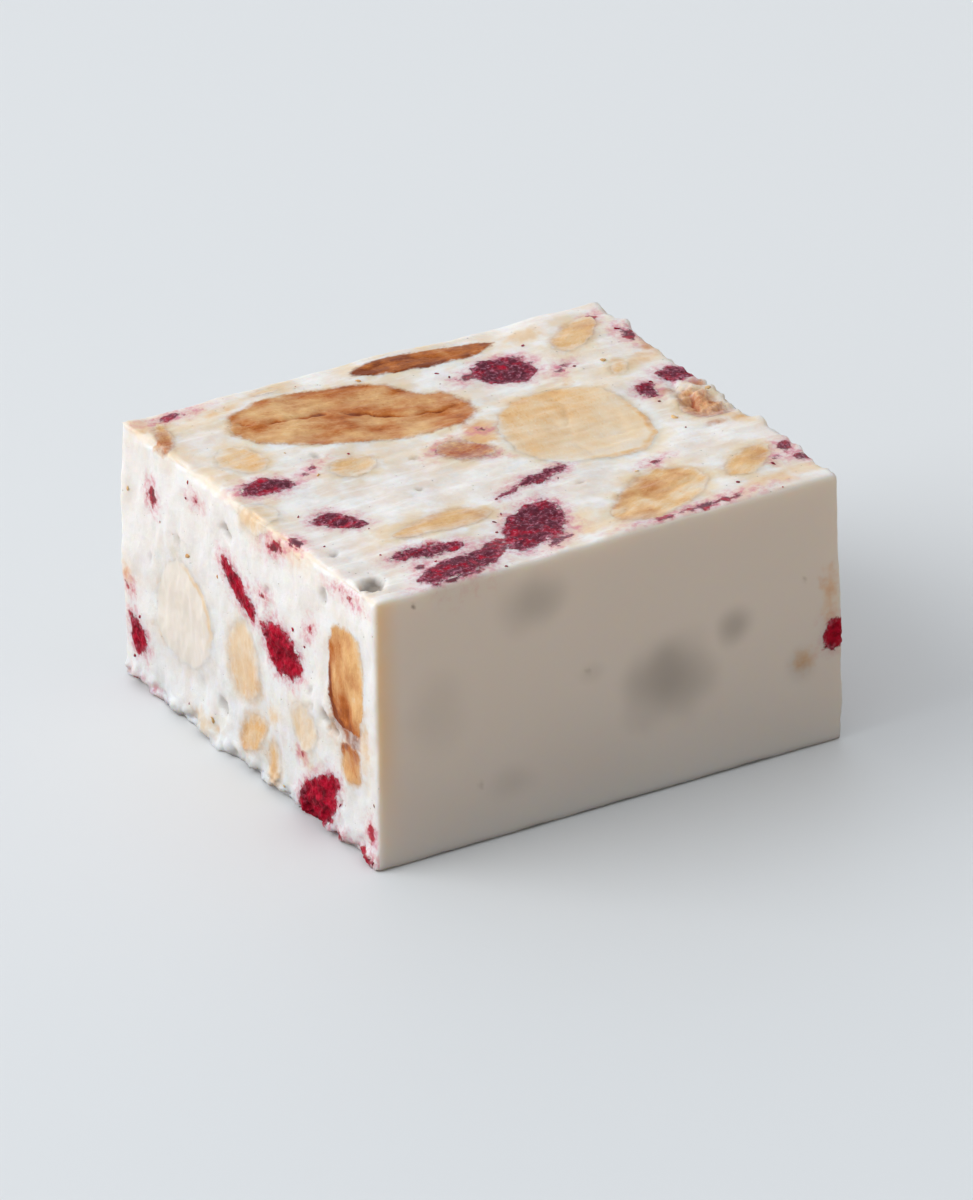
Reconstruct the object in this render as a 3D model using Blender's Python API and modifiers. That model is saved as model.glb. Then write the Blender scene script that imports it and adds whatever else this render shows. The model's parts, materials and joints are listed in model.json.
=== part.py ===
"""One piece of soft white nougat with nuts and dried berries, cut from a moulded slab.

The origin is at the middle of the underside. +X is along the longer side, +Y goes from
the smooth moulded side that is seen to the smooth side behind it, and +Z is up. The top,
the underside and the two ends are cut faces, where the nuts and berries show in section.
"""

import math

import bmesh
import bpy
import numpy as np
from mathutils import Matrix, Vector

MM = 0.001

# Driving dimensions
WIDTH = 40.0 * MM
DEPTH = 37.0 * MM
HEIGHT = 21.5 * MM
EDGE_ROUND = 0.5 * MM
EDGE_SEGMENTS = 2
EDGE_ANGLE = math.radians(50)
FIT_GAP = 0.28 * MM

# How far each corner lies from a true box, keyed by its side in X, Y and Z
CORNER_SHIFT = {
    (-1, -1, 1): Vector((0.5, 0.0, 0.3)) * MM,
    (1, -1, 1): Vector((-0.1, 0.3, 0.3)) * MM,
    (-1, 1, 1): Vector((-0.2, 0.0, -0.2)) * MM,
    (1, 1, 1): Vector((0.3, -0.5, -0.6)) * MM,
    (-1, -1, -1): Vector((0.1, -0.2, 0.0)) * MM,
    (1, -1, -1): Vector((-0.2, 0.0, 0.0)) * MM,
    (-1, 1, -1): Vector((-0.3, 0.4, 0.0)) * MM,
    (1, 1, -1): Vector((0.1, 0.2, 0.0)) * MM,
}

# The block's skin: cells along X, Y and Z, and the swell of the cut and moulded faces,
# which is the mean of slow waves, each a direction and a phase, and fades near the foot
CELLS = (9, 8, 5)
CUT_SWELL = 0.22 * MM
MOULDED_SWELL = 0.08 * MM
SWELL_LENGTH = 13.0 * MM
SWELL_WAVES = (
    (Vector((1.0, 0.0, 0.6)), 0.7),
    (Vector((0.0, 1.15, -0.8)), 2.1),
    (Vector((0.5, -0.6, 0.3)), 4.0),
)
FOOT_HEIGHT = HEIGHT / 4

# An inlay's form: sections round and down, and how uneven its outline is
ROUND_SECTIONS = 10
BIG_ROUND_SECTIONS = 14
DOWN_SECTIONS = 6
BIG_LENGTH = 8.0 * MM
OUTLINE_WAVES = (2, 3, 4)
NUT_UNEVENNESS = 0.045
BERRY_UNEVENNESS = 0.09
LEAST_WAVE = 0.4

# How square an inlay's outline is: an oval at 2, nearer its rectangle above that
OVAL = 2.0
SQUARENESS = {
    "nut_left_front": 4.5,
    "nut_left_front_chip": 3.0,
    "nut_left_small": 2.6,
}

# Face name: (middle of the face, direction across it, direction up it), seen from outside
FACES = {
    "top": (Vector((0, 0, HEIGHT)), Vector((1, 0, 0)), Vector((0, 1, 0))),
    "left": (Vector((-WIDTH / 2, 0, HEIGHT / 2)), Vector((0, -1, 0)), Vector((0, 0, 1))),
    "front": (Vector((0, -DEPTH / 2, HEIGHT / 2)), Vector((1, 0, 0)), Vector((0, 0, 1))),
    "right": (Vector((WIDTH / 2, 0, HEIGHT / 2)), Vector((0, 1, 0)), Vector((0, 0, 1))),
    "under": (Vector((0, 0, 0)), Vector((1, 0, 0)), Vector((0, -1, 0))),
}

# Colour and roughness of each finish
FINISHES = {
    "nougat": ((0.86, 0.83, 0.79), 0.55),
    "nut_toasted": ((0.56, 0.30, 0.12), 0.6),
    "nut_pale": ((0.74, 0.55, 0.33), 0.6),
    "nut_caramel": ((0.36, 0.12, 0.03), 0.55),
    "berry": ((0.20, 0.01, 0.03), 0.75),
}

# Inlays. Name: (finish, across and up from the middle of the face, length, width,
# turn in degrees, depth, taper towards the far end), with the lengths in mm
TOP_INLAYS = {
    "nut_top_large": ("nut_toasted", -5.1, 10.0, 19.0, 10.4, -22, 3.6, 0.05),
    "nut_top_caramel": ("nut_caramel", 4.2, 15.8, 13.0, 3.2, -3, 2.4, 0.10),
    "nut_top_pale": ("nut_pale", 7.9, -0.2, 13.8, 11.8, 75, 3.6, 0.08),
    "nut_top_front": ("nut_toasted", 6.9, -13.8, 10.2, 6.1, 34, 2.6, -0.12),
    "nut_top_front_small": ("nut_pale", 15.3, -12.7, 6.2, 3.1, 38, 1.5, 0.10),
    "nut_top_back_corner": ("nut_pale", 15.9, 13.4, 7.8, 3.2, 42, 1.5, 0.10),
    "nut_top_back_small": ("nut_toasted", -8.6, 17.1, 3.2, 1.4, 4, 1.1, 0.10),
    "nut_top_left_edge": ("nut_toasted", -18.7, 14.4, 6.0, 1.6, 70, 1.2, 0.10),
    "nut_top_left": ("nut_pale", -15.9, 7.9, 5.4, 3.8, 90, 1.8, 0.10),
    "nut_top_middle_small": ("nut_pale", -9.4, 2.4, 4.6, 3.4, 20, 1.3, 0.15),
    "nut_top_middle_red": ("nut_caramel", -1.2, 0.3, 4.8, 3.4, -35, 1.4, 0.25),
    "nut_top_streak": ("nut_toasted", -8.8, -9.5, 8.4, 2.9, 2, 1.6, -0.15),
    "nut_top_right_edge": ("nut_pale", 17.5, -2.0, 6.2, 3.7, 90, 1.8, 0.10),
    "nut_top_right_small": ("nut_pale", 15.7, 6.6, 2.8, 1.8, 60, 1.0, 0.10),
    "nut_top_left_rim": ("nut_pale", -19.5, -0.8, 3.8, 3.8, 0, 1.6, 0.00),
    "berry_top_back": ("berry", 8.3, 10.9, 5.3, 4.9, 20, 2.2, 0.05),
    "berry_top_left": ("berry", -16.6, 2.7, 5.0, 2.6, -5, 1.2, 0.20),
    "berry_top_hook": ("berry", -14.8, -4.8, 4.4, 2.6, -60, 1.4, 0.20),
    "berry_top_sliver": ("berry", 0.5, -6.9, 7.0, 1.3, 17, 0.9, -0.20),
    "berry_top_small": ("berry", 15.4, 1.8, 2.8, 1.4, 80, 1.0, 0.10),
    "berry_top_strip": ("berry", -12.0, -13.0, 6.0, 1.9, -6, 1.0, 0.15),
    "berry_top_front": ("berry", -3.2, -13.2, 8.2, 4.2, 42, 2.2, 0.05),
    "berry_top_front_low": ("berry", -11.0, -16.4, 7.4, 3.3, 16, 1.6, 0.05),
    "berry_top_right_edge": ("berry", 18.7, 3.5, 3.2, 2.7, 10, 1.3, 0.05),
}
LEFT_INLAYS = {
    "nut_left_front": ("nut_toasted", 14.1, 2.9, 8.8, 5.3, 90, 3.0, 0.02),
    "nut_left_front_chip": ("nut_toasted", 14.5, -3.7, 3.7, 3.4, 90, 1.6, -0.15),
    "nut_left_round": ("nut_pale", -9.6, -1.9, 9.0, 8.4, 90, 2.8, 0.00),
    "nut_left_middle": ("nut_pale", -0.8, -1.7, 6.8, 5.2, 94, 2.2, 0.16),
    "nut_left_low": ("nut_toasted", 0.5, -7.2, 5.4, 2.9, 42, 1.6, 0.10),
    "nut_left_foot": ("nut_pale", 3.5, -8.3, 4.0, 1.9, 90, 1.2, 0.05),
    "nut_left_small": ("nut_pale", 8.1, -3.4, 4.3, 3.6, 90, 1.6, 0.10),
    "berry_left_long": ("berry", -1.2, 4.0, 6.2, 2.4, -28, 1.4, 0.05),
    "berry_left_middle": ("berry", 5.1, 1.5, 5.6, 4.1, -8, 2.0, 0.15),
    "berry_left_back": ("berry", -16.6, -6.4, 3.3, 2.8, -70, 1.3, 0.10),
    "berry_left_low": ("berry", 9.8, -9.1, 8.2, 4.2, 50, 2.4, -0.05),
}
FRONT_INLAYS = {
    "berry_front_edge": ("berry", 19.2, -1.9, 3.0, 2.4, 90, 1.5, 0.00),
}
RIGHT_INLAYS = {
    "nut_right_long": ("nut_toasted", -9.5, 3.4, 9.5, 4.6, 62, 2.6, 0.10),
    "nut_right_round": ("nut_pale", 2.2, -3.6, 9.6, 6.6, -18, 3.0, 0.05),
    "nut_right_back": ("nut_toasted", 13.0, -1.0, 8.0, 4.2, 78, 2.4, -0.10),
    "nut_right_upper": ("nut_pale", 5.2, 5.2, 6.0, 2.6, 12, 1.6, 0.10),
    "berry_right_middle": ("berry", -2.6, 5.0, 4.2, 3.0, -30, 1.8, 0.10),
    "berry_right_low": ("berry", -11.8, -6.6, 5.4, 3.2, 28, 1.8, -0.10),
    "berry_right_back": ("berry", 10.6, -7.6, 3.0, 2.2, -50, 1.3, 0.10),
}
UNDER_INLAYS = {
    "nut_under_large": ("nut_toasted", -6.0, 3.5, 15.0, 8.6, 22, 3.2, 0.05),
    "nut_under_pale": ("nut_pale", 9.0, -6.0, 12.5, 7.0, -40, 3.0, 0.08),
    "nut_under_front": ("nut_pale", 12.5, 8.5, 6.4, 3.8, 30, 1.8, 0.10),
    "nut_under_back": ("nut_toasted", -6.5, -10.5, 9.0, 3.8, 8, 2.0, -0.10),
    "nut_under_corner": ("nut_pale", -14.5, 12.5, 5.2, 3.0, -20, 1.6, 0.10),
    "berry_under_middle": ("berry", 3.5, 9.5, 5.6, 3.6, 55, 2.0, 0.10),
    "berry_under_back": ("berry", -15.0, -8.0, 4.6, 3.2, -30, 1.8, 0.05),
    "berry_under_corner": ("berry", 15.5, -13.5, 4.2, 2.2, 35, 1.4, 0.10),
}
INLAYS = {
    "top": TOP_INLAYS,
    "left": LEFT_INLAYS,
    "front": FRONT_INLAYS,
    "right": RIGHT_INLAYS,
    "under": UNDER_INLAYS,
}


def clear_scene():
    for obj in list(bpy.data.objects):
        bpy.data.objects.remove(obj, do_unlink=True)


def new_collection(name, hidden=False):
    collection = bpy.data.collections.new(name)
    bpy.context.scene.collection.children.link(collection)
    collection.hide_render = hidden
    return collection


def finish_material(object_name, finish):
    colour, roughness = FINISHES[finish]
    material = bpy.data.materials.new(object_name)
    material.use_nodes = True
    shader = material.node_tree.nodes["Principled BSDF"]
    shader.inputs["Base Color"].default_value = (*colour, 1.0)
    shader.inputs["Roughness"].default_value = roughness
    shader.inputs["Metallic"].default_value = 0.0
    material.diffuse_color = (*colour, 1.0)
    return material


def object_from(bm, name, collection, finish=None):
    mesh = bpy.data.meshes.new(name)
    bm.to_mesh(mesh)
    bm.free()
    obj = bpy.data.objects.new(name, mesh)
    collection.objects.link(obj)
    if finish:
        mesh.materials.append(finish_material(name, finish))
    else:
        obj.hide_render = True
        obj.display_type = "WIRE"
    return obj


def blended_corner_shift(point):
    """The corners' shifts, mixed by how near the point is to each of them."""
    ratio = (point.x / (WIDTH / 2), point.y / (DEPTH / 2), 2 * point.z / HEIGHT - 1)
    shift = Vector((0, 0, 0))
    for corner, offset in CORNER_SHIFT.items():
        share = 1.0
        for side, part in zip(corner, ratio):
            share *= (1 + side * part) / 2
        shift += offset * share
    return shift


def swell(point):
    """A slow in and out of the surface, between -1 and 1."""
    turn = 2 * math.pi / SWELL_LENGTH
    waves = [math.sin(turn * way.dot(point) + phase) for way, phase in SWELL_WAVES]
    return sum(waves) / len(waves)


def face_amount(value, half):
    """1 on the face at +half, -1 on the face at -half and 0 between them."""
    if abs(abs(value) - half) > EDGE_ROUND / 2:
        return 0.0
    return math.copysign(1.0, value)


def block_mesh():
    """The block: a box in cells, with its corners out of true and its faces swelling."""
    bm = bmesh.new()
    bmesh.ops.create_cube(bm, size=1.0)
    size = Vector((WIDTH, DEPTH, HEIGHT))
    for vertex in bm.verts:
        vertex.co = Vector((part * side for part, side in zip(vertex.co, size)))
        vertex.co.z += HEIGHT / 2
    for axis, cells in enumerate(CELLS):
        across = [
            edge
            for edge in bm.edges
            if abs(abs((edge.verts[0].co - edge.verts[1].co)[axis]) - size[axis]) < EDGE_ROUND
        ]
        bmesh.ops.subdivide_edges(bm, edges=across, cuts=cells - 1, use_grid_fill=True)
    for vertex in bm.verts:
        point = vertex.co.copy()
        end = face_amount(point.x, WIDTH / 2)
        side = face_amount(point.y, DEPTH / 2)
        lid = max(0.0, face_amount(point.z - HEIGHT / 2, HEIGHT / 2))
        lift = min(1.0, point.z / FOOT_HEIGHT)
        vertex.co += blended_corner_shift(point)
        vertex.co.x += end * CUT_SWELL * swell(point) * lift
        vertex.co.y += side * MOULDED_SWELL * swell(point) * lift
        vertex.co.z += lid * CUT_SWELL * swell(point)
    return bm


def round_edges(obj):
    bevel = obj.modifiers.new("round edges", "BEVEL")
    bevel.width = EDGE_ROUND
    bevel.segments = EDGE_SEGMENTS
    bevel.limit_method = "ANGLE"
    bevel.angle_limit = EDGE_ANGLE


def outline_waves(seed, unevenness):
    """Size and phase of each wave that makes an inlay's outline uneven."""
    random = np.random.default_rng(seed)
    sizes = unevenness * random.uniform(LEAST_WAVE, 1.0, len(OUTLINE_WAVES))
    phases = random.uniform(0, 2 * math.pi, len(OUTLINE_WAVES))
    return list(zip(OUTLINE_WAVES, sizes, phases))


def inlay_mesh(face, name, seed, spec, extra):
    """An uneven ellipsoid with its middle on the face, made larger all round by extra."""
    finish, across, up, length, width, turn, depth, taper = spec
    half_length = length * MM / 2 + extra
    half_width = width * MM / 2 + extra
    half_depth = depth * MM + extra
    waves = outline_waves(seed, BERRY_UNEVENNESS if finish == "berry" else NUT_UNEVENNESS)
    square = SQUARENESS.get(name, OVAL)
    sections = BIG_ROUND_SECTIONS if length * MM >= BIG_LENGTH else ROUND_SECTIONS
    bm = bmesh.new()
    bmesh.ops.create_uvsphere(bm, u_segments=sections, v_segments=DOWN_SECTIONS, radius=1.0)
    for vertex in bm.verts:
        along, aside, deep = vertex.co
        angle = math.atan2(aside, along)
        wave = 1 + sum(size * math.cos(count * angle + phase) for count, size, phase in waves)
        wave /= (abs(math.cos(angle)) ** square + abs(math.sin(angle)) ** square) ** (1 / square)
        pinch = 1 - taper * along
        vertex.co = Vector(
            (along * half_length * wave, aside * half_width * wave * pinch, deep * half_depth)
        )
    middle, right, upward = FACES[face]
    outward = right.cross(upward)
    axes = Matrix((right, upward, outward)).transposed().to_4x4()
    place = Matrix.Translation(middle + (right * across + upward * up) * MM)
    turned = Matrix.Rotation(math.radians(turn), 4, "Z")
    bmesh.ops.transform(bm, matrix=place @ axes @ turned, verts=bm.verts)
    return bm


def main():
    clear_scene()
    parts = new_collection("nougat")
    helpers = new_collection("helpers", hidden=True)
    pockets = new_collection("pockets", hidden=True)

    envelope = object_from(block_mesh(), "block_envelope", helpers)
    round_edges(envelope)

    seed = 0
    for face, inlays in INLAYS.items():
        for name, spec in inlays.items():
            seed += 1
            inlay = object_from(inlay_mesh(face, name, seed, spec, 0.0), name, parts, spec[0])
            trim = inlay.modifiers.new("flush with the face", "BOOLEAN")
            trim.operation = "INTERSECT"
            trim.object = envelope
            object_from(inlay_mesh(face, name, seed, spec, FIT_GAP), name + "_pocket", pockets)

    nougat = object_from(block_mesh(), "nougat_body", parts, "nougat")
    round_edges(nougat)
    cut = nougat.modifiers.new("pockets for the inlays", "BOOLEAN")
    cut.operation = "DIFFERENCE"
    cut.operand_type = "COLLECTION"
    cut.collection = pockets


main()
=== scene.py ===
import json
import math

import bmesh
import bpy
import numpy as np
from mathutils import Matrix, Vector, noise
from mathutils.bvhtree import BVHTree


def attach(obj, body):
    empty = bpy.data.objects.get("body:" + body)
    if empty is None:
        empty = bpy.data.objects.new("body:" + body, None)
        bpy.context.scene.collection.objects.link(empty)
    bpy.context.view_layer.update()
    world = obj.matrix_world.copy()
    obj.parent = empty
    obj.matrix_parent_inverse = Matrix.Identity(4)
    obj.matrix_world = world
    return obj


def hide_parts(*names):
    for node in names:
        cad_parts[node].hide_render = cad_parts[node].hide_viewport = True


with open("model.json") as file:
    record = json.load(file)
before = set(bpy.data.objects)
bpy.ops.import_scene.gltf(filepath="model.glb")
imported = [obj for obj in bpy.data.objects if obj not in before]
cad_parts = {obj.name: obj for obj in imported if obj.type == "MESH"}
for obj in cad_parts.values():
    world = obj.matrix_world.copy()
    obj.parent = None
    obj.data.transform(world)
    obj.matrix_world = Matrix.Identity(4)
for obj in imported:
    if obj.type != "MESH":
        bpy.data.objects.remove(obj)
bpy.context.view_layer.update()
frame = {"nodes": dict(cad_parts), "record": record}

mm = 0.001
print("frame loaded,", len(frame["nodes"]), "nodes")

# camera: it stands where the photograph was taken from, with a longer lens
view = {
    "place": (-0.509, -0.898, 0.536),
    "aim": (0.0002, 0.0, 0.0088),
    "lens": 470.0,
    "sensor": 36.0,
    "clip": (0.05, 20.0),
    "roll": math.radians(-1.2),
}


def makeCamera():
    data = bpy.data.cameras.new("camera")
    data.lens = view["lens"]
    data.sensor_width = view["sensor"]
    data.clip_start, data.clip_end = view["clip"]
    camera = bpy.data.objects.new("camera", data)
    bpy.context.scene.collection.objects.link(camera)
    place = Vector(view["place"])
    turn = (Vector(view["aim"]) - place).to_track_quat("-Z", "Y").to_euler()
    turn.rotate_axis("Z", view["roll"])
    camera.location = place
    camera.rotation_euler = turn
    bpy.context.scene.camera = camera


class Wire:
    # a socket that can be added, multiplied and so on, each of which adds a Math node
    def __init__(self, tree, socket):
        self.tree = tree
        self.socket = socket

    def maths(self, operation, first, second=None):
        inputs = {0: first} if second is None else {0: first, 1: second}
        return self.tree.add("ShaderNodeMath", {"operation": operation}, inputs)

    def __add__(self, other):
        return self.maths("ADD", self, other)

    def __radd__(self, other):
        return self.maths("ADD", other, self)

    def __sub__(self, other):
        return self.maths("SUBTRACT", self, other)

    def __rsub__(self, other):
        return self.maths("SUBTRACT", other, self)

    def __mul__(self, other):
        return self.maths("MULTIPLY", self, other)

    def __rmul__(self, other):
        return self.maths("MULTIPLY", other, self)

    def __truediv__(self, other):
        return self.maths("DIVIDE", self, other)

    def other(self, name):
        # another output of the node that this one comes from
        return Wire(self.tree, self.socket.node.outputs[name])

    def clamped(self):
        return self.tree.add("ShaderNodeClamp", {}, {"Value": self})

    def step(self, low, high):
        # 0 below low, 1 above high and smooth between them
        settings = {"interpolation_type": "SMOOTHSTEP"}
        if low < high:
            return self.tree.add("ShaderNodeMapRange", settings, {"Value": self, 1: low, 2: high})
        inputs = {"Value": self, 1: high, 2: low, 3: 1.0, 4: 0.0}
        return self.tree.add("ShaderNodeMapRange", settings, inputs)

    def partly(self, low, high, most):
        return self.step(low, high) * most

    def swing(self, most):
        # a noise made to go as far below 0 as above it
        return (self - 0.5) * most


def rising(values, wire):
    # from the first value where the wire is 0 to the sum of both where it is 1
    start, more = values
    return start + more * wire


class Tree:
    # a node tree with one way to add a node: its settings go in first, then its sockets
    def __init__(self, nodes):
        self.nodes = nodes

    def add(self, kind, settings, inputs, output=0):
        node = self.nodes.nodes.new(kind)
        for name, value in settings.items():
            if name == "stops":
                self.setStops(node.color_ramp, value)
            else:
                setattr(node, name, value)
        for name, value in inputs.items():
            socket = node.inputs[name]
            if isinstance(value, Wire):
                self.nodes.links.new(value.socket, socket)
            else:
                socket.default_value = value
        return Wire(self, node.outputs[output]) if len(node.outputs) else node

    def setStops(self, ramp, stops):
        while len(ramp.elements) < len(stops):
            ramp.elements.new(1.0)
        for element, (position, colour) in zip(ramp.elements, stops):
            element.position = position
            element.color = colour

    def blend(self, factor, first, second):
        return self.add("ShaderNodeMix", {"data_type": "RGBA"}, {0: factor, 6: first, 7: second}, output=2)

    def attribute(self, name, output=2):
        return self.add("ShaderNodeAttribute", {"attribute_name": name}, {}, output)

    def noise(self, vector, name):
        stretch, scale, detail, rough = textures[name]
        if stretch:
            vector = self.stretched(vector, stretch)
        inputs = {"Vector": vector, "Scale": scale, "Detail": detail, "Roughness": rough}
        return self.add("ShaderNodeTexNoise", {}, inputs)

    def cells(self, vector, scale):
        return self.add("ShaderNodeTexVoronoi", {}, {"Vector": vector, "Scale": scale})

    def vectors(self, operation, inputs, output=0):
        return self.add("ShaderNodeVectorMath", {"operation": operation}, inputs, output)

    def stretched(self, vector, scale):
        return self.vectors("MULTIPLY", {0: vector, 1: scale})

    def objectPlace(self):
        # Object coordinates, in metres
        return self.add("ShaderNodeTexCoord", {}, {}, output=3)

    def layers(self, colour, table, colours, noises, lid):
        # a colour with others laid over it, each where its noise is, more or less of it on the top
        for name, reach, shares, shown in table:
            cover = rising(shares, lid)
            if name:
                cover = noises[name].step(*reach) * cover
            colour = self.blend(cover, colour, colours[shown])
        return colour

    def bump(self, height, strength=1.0):
        # height in mm
        return self.add("ShaderNodeBump", {}, {"Strength": strength, "Distance": mm, "Height": height})


# noises of the materials: how they are stretched, how many waves in a mm, their detail and roughness
textures = {
    "cloud": (None, 0.28, 4.0, 0.6),
    "rosy": ((1.0, 1.3, 0.8), 0.62, 4.0, 0.65),
    "drag": ((0.24, 1.5, 1.2), 0.75, 4.0, 0.6),
    "smear": ((0.35, 1.4, 1.0), 0.75, 4.0, 0.65),
    "fine": (None, 3.2, 3.0, 0.6),
    "broad": (None, 0.55, 3.0, 0.5),
    "porous": (None, 0.9, 1.0, 0.5),
    "stain": (None, 1.5, 4.0, 0.7),
    "edgeBroad": (None, 0.9, 4.0, 0.62),
    "edgeSmall": (None, 4.2, 2.0, 0.5),
    "patches": (None, 0.45, 3.0, 0.5),
    "fibres": ((0.34, 1.7, 1.0), 1.0, 6.0, 0.66),
    "specks": ((1.0, 2.4, 1.0), 2.4, 3.0, 0.7),
    "nutFine": (None, 4.0, 3.0, 0.6),
    "berryCloud": (None, 0.9, 4.0, 0.65),
    "berryFine": (None, 3.1, 4.0, 0.7),
    "floorCloud": (None, 2.2, 3.0, 0.5),   # this and the next have waves in a metre
    "floorGrain": (None, 160.0, 2.0, 0.5),
}


def newMaterial(name):
    material = bpy.data.materials.new(name)
    material.use_nodes = True
    material.node_tree.nodes.clear()
    return material, Tree(material.node_tree)


def finishMaterial(tree, inputs):
    shader = tree.add("ShaderNodeBsdfPrincipled", {}, inputs)
    tree.add("ShaderNodeOutputMaterial", {}, {"Surface": shader})


def rgb(red, green, blue):
    # a colour as a paint program shows it, made linear
    def linear(part):
        part /= 255
        return part / 12.92 if part <= 0.04045 else ((part + 0.055) / 1.055) ** 2.4
    return (linear(red), linear(green), linear(blue), 1.0)


# stage: a pale table top, a large window to the left and behind, a dim room in front, and a warm
# card under the table top that only the piece sees, so that warm light comes up to its sides,
# less of it close to the piece
stage = {
    "floorSide": 6.0,
    "floor": rgb(231, 232, 232),
    "floorCloud": rgb(225, 227, 228),
    "floorReach": (0.3, 0.7),
    "floorRough": (0.5, 0.1),
    "cardSide": 0.5,
    "cardDrop": 0.0004,
    # the card is darker close to the piece: a painted shadow
    "cardNear": rgb(66, 38, 18),
    "cardFar": rgb(190, 154, 112),
    "cardReach": (0.019, 0.056),
    "cardRough": 0.9,
    "roomStrength": 1.0,
    "backWay": (-0.62, 0.78, 0.0),
    "backReach": (-0.25, 0.85),
    "aboveReach": (0.25, 0.95),
    "roomAbove": (0.60, 0.64, 0.69, 1.0),
    "roomBehind": (1.14, 1.19, 1.26, 1.0),
    "roomInFront": (0.475, 0.455, 0.42, 1.0),
    "window": {"place": (-1.2, 0.5, 0.86), "size": 1.4, "power": 15.5, "colour": (0.975, 0.99, 1.0)},
}


def floorMaterial():
    material, tree = newMaterial("table top")
    place = tree.objectPlace()
    cloud, fine = tree.noise(place, "floorCloud"), tree.noise(place, "floorGrain")
    shade = tree.blend(cloud.step(*stage["floorReach"]), stage["floor"], stage["floorCloud"])
    finishMaterial(tree, {"Base Color": shade, "Roughness": rising(stage["floorRough"], fine)})
    return material


def aimedLight(name, place, size, power, colour):
    data = bpy.data.lights.new(name, "AREA")
    data.size = size
    data.energy = power
    data.color = colour
    light = bpy.data.objects.new(name, data)
    light.location = place
    light.rotation_euler = (-Vector(place)).to_track_quat("-Z", "Y").to_euler()
    bpy.context.scene.collection.objects.link(light)


def makeRoom():
    # light from all round: bright behind and to the left, dim in front
    world = bpy.data.worlds.new("room")
    world.use_nodes = True
    world.node_tree.nodes.clear()
    tree = Tree(world.node_tree)
    way = tree.add("ShaderNodeTexCoord", {}, {})
    up = tree.add("ShaderNodeSeparateXYZ", {}, {0: way}, output=2)
    back = tree.vectors("DOT_PRODUCT", {0: way, 1: stage["backWay"]}, output=1)
    around = tree.blend(back.step(*stage["backReach"]), stage["roomInFront"], stage["roomBehind"])
    above = tree.blend(up.step(*stage["aboveReach"]), around, stage["roomAbove"])
    background = tree.add("ShaderNodeBackground", {}, {"Color": above, "Strength": stage["roomStrength"]})
    tree.add("ShaderNodeOutputWorld", {}, {"Surface": background})
    bpy.context.scene.world = world


def stagePlane(name, side, height, material):
    bpy.ops.mesh.primitive_plane_add(size=side, location=(0, 0, height))
    plane = bpy.context.object
    plane.name = name
    plane.data.materials.append(material)
    return plane


def makeStage():
    floor = stagePlane("floor", stage["floorSide"], 0.0, floorMaterial())
    floor.visible_diffuse = False
    floor.visible_shadow = False
    cardFinish, tree = newMaterial("warm card")
    away = tree.vectors("LENGTH", {0: tree.objectPlace()}, output=1)
    # painted shadow: the card is darker close to the piece
    warmth = tree.blend(away.step(*stage["cardReach"]), stage["cardNear"], stage["cardFar"])
    finishMaterial(tree, {"Base Color": warmth, "Roughness": stage["cardRough"]})
    card = stagePlane("card", stage["cardSide"], -stage["cardDrop"], cardFinish)
    card.visible_camera = False
    card.visible_glossy = False
    aimedLight("window", **stage["window"])
    makeRoom()
    bpy.context.scene.view_settings.view_transform = "Standard"


makeCamera()
makeStage()
print("camera, floor and lights made")

# the white block, in mm: a box with its corners out of true, its faces swelling and its edges round
block = {
    "size": (40.0, 37.0, 21.5),
    "cells": (150, 139, 81),
    "cornerShift": {
        (-1, -1, 1): (0.5, 0.0, 0.3), (1, -1, 1): (-0.1, 0.3, 0.3),
        (-1, 1, 1): (-0.2, 0.0, -0.2), (1, 1, 1): (0.3, -0.5, -0.6),
        (-1, -1, -1): (0.1, -0.2, 0.0), (1, -1, -1): (-0.2, 0.0, 0.0),
        (-1, 1, -1): (-0.3, 0.4, 0.0), (1, 1, -1): (0.1, 0.2, 0.0),
    },
    "cutSwell": 0.22,
    "mouldedSwell": 0.08,
    "swellLength": 13.0,
    "swellWaves": (((1.0, 0.0, 0.6), 0.7), ((0.0, 1.15, -0.8), 2.1), ((0.5, -0.6, 0.3), 4.0)),
    "footShare": 0.25,
    "edge": (0.38, 0.85),
    "edgeWave": (0.35, 3.0),
    "calmEdge": 3.0,
    "dish": 0.75,
}
halfSize = np.array(block["size"]) / 2


def smooth(low, high, value):
    part = np.clip((value - low) / (high - low), 0.0, 1.0)
    return part * part * (3 - 2 * part)


def spread(points, scale, start):
    # a wave is its scale, for each axis or for all three, and where in the noise it starts
    return [Vector(point) for point in points * np.asarray(scale, float) + start]


def noiseAt(points, scale, start):
    # soft noise from -1 to 1 at each point
    return np.array([noise.noise(point) for point in spread(points, scale, start)])


def layersAt(points, layers):
    # the sum of several waves, each with its share
    return sum(share * noiseAt(points, scale, start) for scale, start, share in layers)


# creased noise: how many layers it has, and what is taken off so that it goes both ways
creases = {"layers": 3, "mean": 0.35}


def turbulenceAt(points, scale, start):
    spots = spread(points, scale, start)
    return np.array([noise.turbulence(spot, creases["layers"], False) for spot in spots]) - creases["mean"]


def cellsAt(points, scale, start):
    # distance to the nearest of many scattered points, as a share of their spacing
    return np.array([noise.voronoi(point)[0][0] for point in spread(points, scale, start)])


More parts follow.
